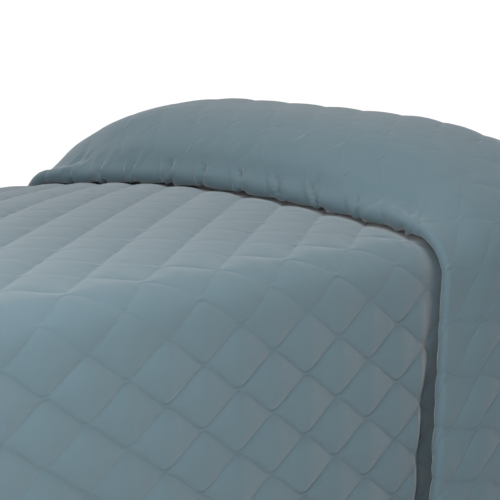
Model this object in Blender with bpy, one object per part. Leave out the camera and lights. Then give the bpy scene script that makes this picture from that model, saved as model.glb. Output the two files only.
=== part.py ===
"""Quilted bedspread made up over a single bed and tucked in under the front of the pillow.

Run with: blender --background --python part.py

The quilt is a face fabric, a batting and a backing fabric, bound along its four edges. All of them
follow one middle surface. It is laid out from the cloth's own lengths: every lengthwise thread keeps its
length through the tuck and over the pillow, and every crosswise thread keeps its length from the
middle of the bed to the hem.

X runs across the bed, +Y towards the head, +Z up. The origin is on the floor, under the middle.
While it is made, Y is measured from the visible fold of the tuck at the middle of the bed.
"""

import math

import bmesh
import bpy
import numpy as np
from mathutils import Matrix, Vector

# The bed that the quilt covers
BED_WIDTH = 0.990
BED_HEIGHT = 0.553
FOOT_TO_TUCK = 1.400
BED_EDGE_RADIUS = 0.051

# The pillow under the head end of the quilt
PILLOW_RISE = 0.138
PILLOW_DEPTH = 0.487
PILLOW_RIDGE = 0.280  # from the front of the pillow to its highest line
BEHIND_PILLOW = 0.020  # cloth that lies flat behind it, at the head end
EASE_START = 0.200  # from the middle of the cloth, where the front starts to be less steep
EASE_LENGTH = 0.100
PILLOW_END_WIDTH = 0.400  # how far in from its end the pillow starts to fall away
PILLOW_END_HEIGHT = 0.200
PILLOW_OVERHANG = 0.022  # how far the pillow pushes the side drops out

# The cloth, from the face inwards
FACE_THICKNESS = 0.0010
BATTING_THICKNESS = 0.0054
BACKING_THICKNESS = 0.0010
LAYER_GAP = 0.0003

# The tuck, a fold of three layers
TUCK_DEPTH = 0.070  # at the middle of the bed
FOLD_HOLLOW = 0.0035  # radius of the hollow inside each fold
TUCK_SINK = 0.008  # how far the mattress gives way under the fold
SINK_LENGTH = 0.060
FOLD_SLANT = 0.030  # metres towards the foot for each metre down the side

# The foot corners, which are cut round and hang in two cones each
FLUTE_ANGLE = math.radians(11)
VALLEY_ANGLE = math.radians(10)

# The binding and its stitching
BINDING_WIDTH = 0.012
BINDING_THICKNESS = 0.0008
THREAD_WIDTH = 0.0008
THREAD_HEIGHT = 0.0005
THREAD_INSET = 0.0020  # from the binding's inner edge
END_GAP = 0.0003

# The care label, sewn inside the left drop
LABEL_WIDTH = 0.035
LABEL_HEIGHT = 0.050
LABEL_THICKNESS = 0.0004
LABEL_FROM_FOOT = 0.300

# How finely the curves are divided
FLAT_COLUMNS = 4
EDGE_COLUMNS = 3
DROP_COLUMNS = 4
CORNER_STEPS = 12
HAIRPIN_STEPS = 8
LENGTH_SAMPLES = 240
TIE_FLATNESS = 0.0001  # diagonals whose creases differ by less than this count as equal

COLOURS = {
    "face_fabric": (0.165, 0.232, 0.263),
    "batting": (0.830, 0.830, 0.800),
    "backing_fabric": (0.176, 0.246, 0.278),
    "binding": (0.150, 0.215, 0.246),
    "stitching": (0.200, 0.275, 0.305),
    "care_label": (0.800, 0.800, 0.780),
}
ROUGHNESS = {"care_label": 0.60}
CLOTH_ROUGHNESS = 0.85

# Sizes that follow from those above
HALF_THICKNESS = (FACE_THICKNESS + BATTING_THICKNESS + BACKING_THICKNESS) / 2 + LAYER_GAP
HALF_WIDTH = BED_WIDTH / 2 + HALF_THICKNESS
TOP_HEIGHT = BED_HEIGHT + HALF_THICKNESS
EDGE_RADIUS = BED_EDGE_RADIUS + HALF_THICKNESS
FLAT_HALF = HALF_WIDTH - EDGE_RADIUS
EDGE_ARC = math.pi / 2 * EDGE_RADIUS
FOLD_RADIUS = HALF_THICKNESS + FOLD_HOLLOW
BINDING_WRAP = LAYER_GAP + BINDING_THICKNESS
DROP = TOP_HEIGHT - EDGE_RADIUS - BINDING_WRAP
HALF_CLOTH = FLAT_HALF + EDGE_ARC + DROP
HEAD_END = PILLOW_DEPTH + BEHIND_PILLOW


def cross_section(s, lift=0.0, swell=0.0):
    """Across the bed, the place (x, z) of a thread that lies s from the middle of the cloth.

    lift is how far the cloth lies off the bed and swell is how high the pillow stands here, from 0 to 1.
    A lift below 0 presses the cloth into the mattress.
    """
    sink = min(0.0, lift)
    lift -= sink
    half = HALF_WIDTH + lift + PILLOW_OVERHANG * swell
    across = EDGE_RADIUS + lift + (PILLOW_END_WIDTH - EDGE_RADIUS) * swell
    down = EDGE_RADIUS + lift + (PILLOW_END_HEIGHT - EDGE_RADIUS) * swell
    top = TOP_HEIGHT + lift + PILLOW_RISE * swell
    turn = np.linspace(0, math.pi / 2, LENGTH_SAMPLES)
    x = half - across + across * np.sin(turn)
    z = top - down + down * np.cos(turn)
    run = half - across + np.concatenate([[0], np.cumsum(np.hypot(np.diff(x), np.diff(z)))])
    place_x = s if s < run[0] else float(np.interp(s, run, x))
    place_z = float(np.interp(s, run, z)) - max(0.0, s - run[-1])
    tilt = math.pi / 2 * min(1.0, max(0.0, s - run[0]) / (run[-1] - run[0]))
    return place_x + sink * math.sin(tilt), place_z + sink * math.cos(tilt)


def pillow_swell(along):
    """The pillow's height, from 0 to 1, at a distance along from the fold at its front."""
    if along < PILLOW_RIDGE:
        return math.sqrt(max(0.0, 1 - (1 - along / PILLOW_RIDGE) ** 2))
    behind = min(1.0, (along - PILLOW_RIDGE) / (PILLOW_DEPTH - PILLOW_RIDGE))
    return math.cos(math.pi / 2 * behind)


def fold_shift(s):
    """The visible fold slants towards the foot down the side, and stands upright in the binding."""
    down = min(s, HALF_CLOTH - BINDING_WIDTH) - FLAT_HALF - EDGE_ARC
    return -FOLD_SLANT * max(0.0, down)


def smooth_step(value):
    """Rises smoothly from 0 to 1 as value does."""
    held = min(1.0, max(0.0, value))
    return held * held * (3 - 2 * held)


def over_pillow(s, along):
    """The outer layer, from its front edge (along = 0) to the head end.

    The front of the pillow is steep on top of the bed, and eases in down the side.
    """
    rounding = math.sqrt(max(0.0, FOLD_RADIUS**2 - max(0.0, FOLD_RADIUS - along) ** 2))
    lift = 3 * FOLD_RADIUS - TUCK_SINK + rounding
    on_side = smooth_step((s - EASE_START) / (FLAT_HALF + EDGE_ARC - EASE_START))
    ease = 1 - on_side * (1 - smooth_step(along / EASE_LENGTH))
    x, z = cross_section(s, lift, pillow_swell(along) * ease)
    return Vector((x, along - FOLD_RADIUS + fold_shift(s) * (1 - along / HEAD_END), z))


def pillow_stations(steps):
    """Distances along the outer layer, closer together near its front edge."""
    quarter = [math.pi / 2 * k / (HAIRPIN_STEPS // 2) for k in range(HAIRPIN_STEPS // 2 + 1)]
    fold = [FOLD_RADIUS * (1 - math.cos(turn)) for turn in quarter]
    front = [PILLOW_RIDGE * (1 - math.cos(math.pi / 2 * k / steps)) for k in range(1, steps + 1)]
    behind = PILLOW_DEPTH - PILLOW_RIDGE
    back = [PILLOW_RIDGE + behind * k / (steps - 4) for k in range(1, steps - 3)]
    tail = [HEAD_END - BINDING_WIDTH, HEAD_END]
    return fold + [along for along in front if along > 2 * FOLD_RADIUS] + back + tail


def outer_length(s):
    """The length of a lengthwise thread in the outer layer."""
    points = [over_pillow(s, along) for along in pillow_stations(60)]
    return sum((b - a).length for a, b in zip(points, points[1:]))


def tuck_depth(s):
    """A thread with a shorter way over the pillow has more of its length in the tuck."""
    return TUCK_DEPTH + (outer_length(0.0) - outer_length(s)) / 2


def thread_path(s):
    """The places of one lengthwise thread, from the foot edge of the bed's top to the head end."""
    shift = fold_shift(s)
    depth = tuck_depth(min(s, HALF_CLOTH - BINDING_WIDTH))
    stations = []
    flat_start = EDGE_RADIUS - HALF_THICKNESS - FOOT_TO_TUCK
    for k in range(4):
        stations.append((flat_start + (shift - SINK_LENGTH - flat_start) * k / 3, 0.0))
    for k in (1, 2, 3):
        sink = TUCK_SINK * (1 - math.cos(math.pi * k / 3)) / 2
        stations.append((shift - SINK_LENGTH * (1 - k / 3), -sink))
    stations.append((shift + depth / 2, -TUCK_SINK))
    for k in range(HAIRPIN_STEPS + 1):
        turn = math.pi * k / HAIRPIN_STEPS
        bend = (FOLD_RADIUS * math.sin(turn), FOLD_RADIUS * (1 - math.cos(turn)))
        stations.append((shift + depth + bend[0], bend[1] - TUCK_SINK))
    stations.append((shift + depth / 2, 2 * FOLD_RADIUS - TUCK_SINK))
    half_turn = HAIRPIN_STEPS // 2
    for k in range(half_turn):
        turn = math.pi / 2 * k / half_turn
        bend = (-FOLD_RADIUS * math.sin(turn), FOLD_RADIUS * (3 - math.cos(turn)))
        stations.append((shift + bend[0], bend[1] - TUCK_SINK))
    points = []
    for y, lift in stations:
        x, z = cross_section(s, lift)
        points.append(Vector((x, y, z)))
    return points + [over_pillow(s, along) for along in pillow_stations(8)]


def columns():
    """Distances from the middle of the cloth to its lengthwise grid lines, on one half."""
    flat = [FLAT_HALF * k / FLAT_COLUMNS for k in range(FLAT_COLUMNS + 1)]
    edge = [FLAT_HALF + EDGE_ARC * k / EDGE_COLUMNS for k in range(1, EDGE_COLUMNS + 1)]
    drop = [FLAT_HALF + EDGE_ARC + DROP * k / DROP_COLUMNS for k in range(1, DROP_COLUMNS)]
    return flat + edge + drop + [HALF_CLOTH - BINDING_WIDTH, HALF_CLOTH]


def foot_point(s, round_turn, x_flat):
    """A place beyond the foot edge of the flat top, where round_turn goes from 0, towards the side,
    to a quarter turn, towards the foot, and x_flat is the place on that edge that it hangs from."""
    x, z = cross_section(s)
    flare = FLUTE_ANGLE * math.sin(4 * round_turn) ** 2 + VALLEY_ANGLE * math.sin(2 * round_turn) ** 2
    hanging = max(0.0, s - FLAT_HALF - EDGE_ARC)
    reach = x - FLAT_HALF + hanging * math.sin(flare)
    z += hanging * (1 - math.cos(flare))
    flat_start = EDGE_RADIUS - HALF_THICKNESS - FOOT_TO_TUCK
    y = flat_start - reach * math.sin(round_turn)
    return Vector((x_flat + reach * math.cos(round_turn), y, z))


class HalfSheet:
    """The middle surface of one half of the cloth, as points and triangles."""

    def __init__(self):
        self.points = []
        self.faces = []
        spots = columns()
        self.hem = len(spots) - 1
        self.main = [[self.add(p) for p in thread_path(s)] for s in spots]
        self.rows = len(self.main[0])
        self.beyond = spots[FLAT_COLUMNS + 1 :]
        self.apron = self.foot_apron(spots)
        self.corner = self.foot_corner()
        self.join_main()
        self.join_foot()

    def add(self, point):
        self.points.append(point)
        return len(self.points) - 1

    def foot_apron(self, spots):
        """The drop at the foot: one list of levels for each flat column."""
        made = []
        for k in range(FLAT_COLUMNS + 1):
            levels = [self.add(foot_point(s, math.pi / 2, spots[k])) for s in self.beyond]
            made.append([self.main[k][0], *levels])
        return made

    def foot_corner(self):
        """The round corner: spokes from the side drop to the foot drop."""
        pole = self.main[FLAT_COLUMNS][0]
        spokes = [[pole, *(self.main[k][0] for k in range(FLAT_COLUMNS + 1, self.hem + 1))]]
        for step in range(1, CORNER_STEPS):
            turn = math.pi / 2 * step / CORNER_STEPS
            spokes.append([pole, *(self.add(foot_point(s, turn, FLAT_HALF)) for s in self.beyond)])
        return spokes + [self.apron[FLAT_COLUMNS]]

    def quad(self, a, b, c, d):
        """Two triangles that meet at the flatter diagonal, or one where two corners are the same."""
        across, other = ((a, b, c), (a, c, d)), ((b, c, d), (b, d, a))
        halves = across
        if len({a, b, c, d}) == 4 and self.flatness(*other) > self.flatness(*across) + TIE_FLATNESS:
            halves = other
        self.faces += [face for face in halves if len(set(face)) == 3]

    def flatness(self, one, two):
        """1 where two triangles lie in one plane, and less where they meet at a crease."""
        normals = [
            (self.points[b] - self.points[a]).cross(self.points[c] - self.points[a]).normalized()
            for a, b, c in (one, two)
        ]
        return normals[0].dot(normals[1])

    def join_main(self):
        for i in range(self.hem):
            for j in range(self.rows - 1):
                near, far = self.main[i], self.main[i + 1]
                self.quad(near[j], far[j], far[j + 1], near[j + 1])

    def join_foot(self):
        for group in (self.apron, self.corner[::-1]):
            for near, far in zip(group, group[1:]):
                for m in range(len(near) - 1):
                    self.quad(near[m + 1], far[m + 1], far[m], near[m])


class Sheet:
    """The whole middle surface, with the direction to its face side at each point."""

    def __init__(self, half):
        self.half = half
        self.mesh = bmesh.new()
        right = [self.mesh.verts.new(p) for p in half.points]
        left = []
        for vert in right:
            on_middle = abs(vert.co.x) < 1e-9
            flipped = Vector((-vert.co.x, vert.co.y, vert.co.z))
            left.append(vert if on_middle else self.mesh.verts.new(flipped))
        for a, b, c in half.faces:
            self.mesh.faces.new((right[a], right[b], right[c]))
            self.mesh.faces.new((left[a], left[c], left[b]))
        self.sides = {1: right, -1: left}
        self.mesh.verts.index_update()
        self.mesh.normal_update()
        self.outward = [v.normal * v.calc_shell_factor() for v in self.mesh.verts]

    def spot(self, side, number):
        """A point and its face direction."""
        vert = self.sides[side][number]
        return vert.co.copy(), self.outward[vert.index]

    def edge_station(self, side, number, inner_number):
        """What a binding needs at one point of an edge: the point, the direction out of the cloth in
        its own surface, the face direction, and how both change further in."""
        point, face_way = self.spot(side, number)
        inner, inner_way = self.spot(side, inner_number)
        return {
            "point": point,
            "out": (point - inner).normalized(),
            "way": face_way,
            "inner": inner,
            "inner_way": inner_way,
        }


def at_station(station, out, height):
    """A place at a distance out from the cloth's edge (in, where negative) and height off its middle."""
    if out >= 0:
        return station["point"] + station["out"] * out + station["way"] * height
    share = -out / (station["point"] - station["inner"]).length
    point = station["point"].lerp(station["inner"], share)
    return point + station["way"].lerp(station["inner_way"], share) * height


def moved(station, other, distance):
    """A station moved along the edge towards another one, or away from it where distance is negative."""
    share = distance / (other["point"] - station["point"]).length
    keys = ("point", "out", "way", "inner", "inner_way")
    return {key: station[key] + (other[key] - station[key]) * share for key in keys}


def new_material(name, colour):
    material = bpy.data.materials.new(name)
    material.use_nodes = True
    shader = material.node_tree.nodes["Principled BSDF"]
    shader.inputs["Base Color"].default_value = (*colour, 1)
    shader.inputs["Roughness"].default_value = ROUGHNESS.get(name, CLOTH_ROUGHNESS)
    shader.inputs["Metallic"].default_value = 0.0
    return material


def new_object(name, mesh, finish, smooth=True):
    """Turns a bmesh into a named object with its own material."""
    data = bpy.data.meshes.new(name)
    mesh.to_mesh(data)
    mesh.free()
    if smooth:
        data.shade_smooth()
        data.set_sharp_from_angle(angle=math.radians(35))
    data.materials.append(new_material(name, COLOURS[finish]))
    made = bpy.data.objects.new(name, data)
    bpy.context.scene.collection.objects.link(made)
    return made


def cloth_layer(name, sheet, low, high):
    """A closed layer of the quilt between two heights off the middle surface."""
    mesh = bmesh.new()
    source = sheet.mesh
    under = [mesh.verts.new(v.co + sheet.outward[v.index] * low) for v in source.verts]
    over = [mesh.verts.new(v.co + sheet.outward[v.index] * high) for v in source.verts]
    for face in source.faces:
        ring = [v.index for v in face.verts]
        mesh.faces.new([over[k] for k in ring])
        mesh.faces.new([under[k] for k in reversed(ring)])
    for edge in source.edges:
        if edge.is_boundary:
            loop = edge.link_loops[0]
            a, b = loop.vert.index, loop.link_loop_next.vert.index
            mesh.faces.new((over[b], over[a], under[a], under[b]))
    return new_object(name, mesh, name)


def swept(name, stations, outline, finish):
    """A closed strip along an edge, with the same outline of (out, height) points at each station. The
    outline goes up one side of the strip and back down the other, so its ends close in quads."""
    mesh = bmesh.new()
    rings = [[mesh.verts.new(at_station(s, *spot)) for spot in outline] for s in stations]
    count = len(outline)
    for near, far in zip(rings, rings[1:]):
        for k in range(count):
            mesh.faces.new((near[k], near[(k + 1) % count], far[(k + 1) % count], far[k]))
    for ring in (rings[0], rings[-1]):
        for k in range(count // 2 - 1):
            mesh.faces.new((ring[k], ring[k + 1], ring[count - 2 - k], ring[count - 1 - k]))
    bmesh.ops.triangulate(mesh, faces=mesh.faces[:])
    bmesh.ops.recalc_face_normals(mesh, faces=mesh.faces[:])
    return new_object(name, mesh, finish, smooth=False)


def binding_outline():
    """A folded strip, open towards the cloth that it wraps."""
    inside = HALF_THICKNESS + LAYER_GAP
    outside = inside + BINDING_THICKNESS
    return [
        (-BINDING_WIDTH, outside),
        (BINDING_WRAP, outside),
        (BINDING_WRAP, -outside),
        (-BINDING_WIDTH, -outside),
        (-BINDING_WIDTH, -inside),
        (LAYER_GAP, -inside),
        (LAYER_GAP, inside),
        (-BINDING_WIDTH, inside),
    ]


def stitching_outline():
    """The row of stitches on the binding's face side."""
    low = HALF_THICKNESS + 2 * LAYER_GAP + BINDING_THICKNESS
    near, far = THREAD_INSET - BINDING_WIDTH, THREAD_INSET + THREAD_WIDTH - BINDING_WIDTH
    high = low + THREAD_HEIGHT
    return [(near, low), (far, low), (far, high), (near, high)]


def bound_edge(place, stations):
    """One strip of binding with its stitching."""
    swept(f"binding_{place}", stations, binding_outline(), "binding")
    swept(f"binding_stitching_{place}", stations, stitching_outline(), "stitching")


def side_stations(sheet, side):
    """Along a side hem, from the foot corner to just past the head end."""
    main, hem = sheet.half.main, sheet.half.hem
    row = [sheet.edge_station(side, a, b) for a, b in zip(main[hem], main[hem - 1])]
    row[0] = moved(row[0], row[1], END_GAP)
    row[-1] = moved(row[-1], row[-2], -BINDING_WRAP)
    return row


def foot_stations(sheet):
    """Round the right corner, across the foot and round the left corner."""
    half = sheet.half
    spokes = half.corner + half.apron[-2::-1]
    one_side = [(spoke[-1], spoke[-2]) for spoke in spokes]
    row = [sheet.edge_station(1, a, b) for a, b in one_side]
    row += [sheet.edge_station(-1, a, b) for a, b in one_side[-2::-1]]
    row[0] = moved(row[0], row[1], END_GAP)
    row[-1] = moved(row[-1], row[-2], END_GAP)
    return row


def head_stations(sheet):
    """Across the head end, between the inner edges of the side bindings."""
    main, hem = sheet.half.main, sheet.half.hem
    one_side = [(column[-1], column[-2]) for column in main[:hem]]
    right = [sheet.edge_station(1, a, b) for a, b in one_side]
    left = [sheet.edge_station(-1, a, b) for a, b in one_side]
    for row in (right, left):
        row[-1] = moved(row[-1], row[-2], END_GAP)
    return right[::-1] + left[1:]


def care_label():
    """A blank label that stands on the binding, inside the left drop."""
    mesh = bmesh.new()
    bmesh.ops.create_cube(mesh, size=1.0)
    x = -(HALF_WIDTH - HALF_THICKNESS - LAYER_GAP - LABEL_THICKNESS / 2)
    y = LABEL_FROM_FOOT - FOOT_TO_TUCK
    z = BINDING_WRAP + BINDING_WIDTH + END_GAP + LABEL_HEIGHT / 2
    for vert in mesh.verts:
        size = Vector((LABEL_THICKNESS, LABEL_WIDTH, LABEL_HEIGHT))
        vert.co = vert.co * size + Vector((x, y, z))
    return new_object("care_label", mesh, "care_label", smooth=False)


def centre_length():
    """Puts the middle of the whole quilt's length over the origin."""
    meshes = [made.data for made in bpy.data.objects]
    ends = [vert.co.y for mesh in meshes for vert in mesh.vertices]
    to_middle = Matrix.Translation((0, -(min(ends) + max(ends)) / 2, 0))
    for mesh in meshes:
        mesh.transform(to_middle)


def build():
    for old in list(bpy.data.objects):
        bpy.data.objects.remove(old, do_unlink=True)
    sheet = Sheet(HalfSheet())
    batting_top = HALF_THICKNESS - FACE_THICKNESS - LAYER_GAP
    batting_bottom = BACKING_THICKNESS + LAYER_GAP - HALF_THICKNESS
    cloth_layer("face_fabric", sheet, HALF_THICKNESS - FACE_THICKNESS, HALF_THICKNESS)
    cloth_layer("batting", sheet, batting_bottom, batting_top)
    cloth_layer("backing_fabric", sheet, -HALF_THICKNESS, BACKING_THICKNESS - HALF_THICKNESS)
    bound_edge("right", side_stations(sheet, 1))
    bound_edge("left", side_stations(sheet, -1))
    bound_edge("foot", foot_stations(sheet))
    bound_edge("head", head_stations(sheet))
    care_label()
    sheet.mesh.free()
    centre_length()


build()
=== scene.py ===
"""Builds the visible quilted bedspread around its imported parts.

The cloth is laid out from its own lengths. u is measured across it from the middle and v along it from
the foot edge of the bed's top. Both follow the threads through the drops, the tuck and the rise over
the pillow, so the quilting keeps its size everywhere. The wavy quilting lines are grid lines of the
mesh, and the cloth puffs up between them. Where it is pulled one way, its cells join in slanting bands.
"""

import math
import random

import bmesh
import bpy
import numpy as np
from bpy.props import FloatProperty, FloatVectorProperty, IntProperty, PointerProperty
from mathutils import Matrix, Vector


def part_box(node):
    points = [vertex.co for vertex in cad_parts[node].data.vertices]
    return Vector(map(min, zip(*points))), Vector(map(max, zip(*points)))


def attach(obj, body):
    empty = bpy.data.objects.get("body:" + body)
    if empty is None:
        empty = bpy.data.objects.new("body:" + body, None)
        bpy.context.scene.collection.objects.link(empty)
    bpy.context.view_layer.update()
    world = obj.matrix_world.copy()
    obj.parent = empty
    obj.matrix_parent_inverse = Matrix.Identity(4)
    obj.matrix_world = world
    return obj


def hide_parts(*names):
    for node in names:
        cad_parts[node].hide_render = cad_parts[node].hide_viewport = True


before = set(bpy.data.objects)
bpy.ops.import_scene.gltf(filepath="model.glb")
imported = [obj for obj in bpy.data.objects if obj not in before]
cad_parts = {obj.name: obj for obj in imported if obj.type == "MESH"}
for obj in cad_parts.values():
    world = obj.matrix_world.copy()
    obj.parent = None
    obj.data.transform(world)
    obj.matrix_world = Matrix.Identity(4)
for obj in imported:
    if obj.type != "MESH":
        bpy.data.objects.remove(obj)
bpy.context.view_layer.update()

bl_info = {
    "name": "Quilted Bedspread",
    "version": (1, 0, 0),
    "blender": (4, 5, 0),
    "location": "View3D > Sidebar > Quilt",
    "description": "Onion quilted bedspread made up over a single bed and pillow",
    "category": "Add Mesh",
}

ROOT = "root"
EDGE_HEIGHT = 0.0026  # half the quilt's thickness at its hems
CREASE_START = -0.0230  # a crease in front of the pillow, from the middle of the cloth
CLOTH_LAYERS = ("face_fabric", "batting", "backing_fabric")
SEED = 11
NO_LINE = -999  # in place of a line's number, beside a hem
HEM_FADE = 0.022  # over which the loft falls to the flat hem
HEM_CLEARANCE = 0.013  # from the hem to the end of the quilting thread


# ---------------------------------------------------------------- sizes


def length(name, about, default):
    return FloatProperty(name=name, description=about, default=default, unit="LENGTH")


def colour(name, about, default):
    return FloatVectorProperty(name=name, description=about, default=default, subtype="COLOR")


class BedSizes(bpy.types.PropertyGroup):
    """The bed and the pillow under the quilt."""

    width: length("Bed width", "Across the mattress", 0.990)
    height: length("Bed height", "Floor to mattress top", 0.553)
    to_tuck: length("Foot to tuck", "From the foot to the tuck", 1.400)
    edge_radius: length("Edge radius", "Rounding of the mattress edges", 0.051)
    crown: length("Crown", "Rise of the mattress at its middle", 0.024)
    settle: length("Settle", "How much lower the left side lies", 0.014)
    pillow_rise: length("Pillow rise", "Height of the pillow's ridge", 0.124)
    pillow_depth: length("Pillow depth", "From front to back", 0.487)
    pillow_ridge: length("Pillow ridge", "From the front to the ridge", 0.280)
    pillow_end_width: length("Pillow end width", "Where the pillow falls away", 0.325)
    pillow_end_height: length("Pillow end height", "How far the end falls", 0.165)
    pillow_overhang: length("Pillow overhang", "How far the side drop is pushed out", 0.022)
    behind_pillow: length("Behind pillow", "Flat cloth at the head end", 0.020)


class TuckSizes(bpy.types.PropertyGroup):
    """The fold of three layers in front of the pillow."""

    depth: length("Depth", "At the middle of the bed", 0.070)
    fold_radius: length("Fold radius", "Of the folds' middle surface", 0.0075)
    sink: length("Sink", "Dip of the lower layer", 0.008)
    sink_length: length("Sink length", "Length of the dip", 0.060)
    slant: FloatProperty(name="Slant", description="Of the fold down the side", default=0.046)
    corner: length("Corner", "How far the fold runs ahead on the side", 0.011)
    fan: length("Fan", "How far the outer layer stands off at the hem", 0.014)
    side_sink: length("Side sink", "Dip of the lower layer at the hem", 0.020)


class QuiltingSizes(bpy.types.PropertyGroup):
    """The onion pattern and the loft of its cells."""

    cell_length: length("Cell length", "Along the bed", 0.1369)
    cell_width: length("Cell width", "Across the bed", 0.0898)
    first_touch: length("First touch", "From the tuck to where lines meet", -0.2461)
    touch_height: length("Touch height", "Below the top, where lines meet", 0.1189)
    line_gap: length("Line gap", "Between two lines where they meet", 0.0030)
    face_loft: length("Face loft", "Height of a cell's crown", 0.0098)
    back_loft: length("Back loft", "Depth of a cell on the back", 0.0040)
    sewn_height: length("Sewn height", "Half the quilt's thickness at a seam", 0.0008)
    stitch_pitch: length("Stitch pitch", "From stitch to stitch", 0.0042)
    thread_radius: length("Thread radius", "Of the sewing thread", 0.00020)


class TrimSizes(bpy.types.PropertyGroup):
    """The binding round the edges."""

    binding_width: length("Binding width", "On each side of the quilt", 0.012)
    binding_thickness: length("Binding thickness", "Of the folded strip", 0.0008)
    half_thickness: length("Half thickness", "Of the quilt inside it", 0.0040)
    stitch_inset: length("Stitch inset", "From the binding's inner edge", 0.0020)


class GridSizes(bpy.types.PropertyGroup):
    """How finely the cloth is divided along its length."""

    per_cell: IntProperty(name="Along", description="Divisions along a cell", default=24)


class ClothColours(bpy.types.PropertyGroup):
    """Colours of the cloths and threads."""

    face: colour("Face", "Face fabric", (0.062, 0.098, 0.116))
    binding: colour("Binding", "Binding strip", (0.061, 0.094, 0.112))
    thread: colour("Thread", "Sewing thread", (0.066, 0.101, 0.120))
    label: colour("Label", "Woven label", (0.800, 0.800, 0.780))


GROUPS = {
    "quilt_bed": BedSizes,
    "quilt_tuck": TuckSizes,
    "quilt_cells": QuiltingSizes,
    "quilt_trim": TrimSizes,
    "quilt_grid": GridSizes,
    "quilt_colours": ClothColours,
}


def sizes(name):
    return getattr(bpy.context.scene, name)


# ---------------------------------------------------------------- how the cloth lies


def smooth_step(value):
    held = np.clip(value, 0.0, 1.0)
    return held * held * (3 - 2 * held)


def fade(value, start, span):
    """From 0 at start to 1 at start plus span."""
    return smooth_step((value - start) / span)


def dome(value, middle, width):
    """A smooth bump with a height of 1."""
    return np.exp(-(((value - middle) / width) ** 2))


def smooth_noise(x, y, size, seed):
    """Smooth values from about -1 to 1 that change over a distance of size."""
    chooser = np.random.default_rng(seed)
    table = chooser.uniform(-1, 1, (64, 64))
    gx, gy = np.asarray(x) / size + 1000.5, np.asarray(y) / size + 1000.5
    ix, iy = np.floor(gx).astype(int), np.floor(gy).astype(int)
    fx, fy = smooth_step(gx - ix), smooth_step(gy - iy)
    corners = [table[(ix + a) % 64, (iy + b) % 64] for a in (0, 1) for b in (0, 1)]
    low = corners[0] * (1 - fy) + corners[1] * fy
    high = corners[2] * (1 - fy) + corners[3] * fy
    return low * (1 - fx) + high * fx


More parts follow.
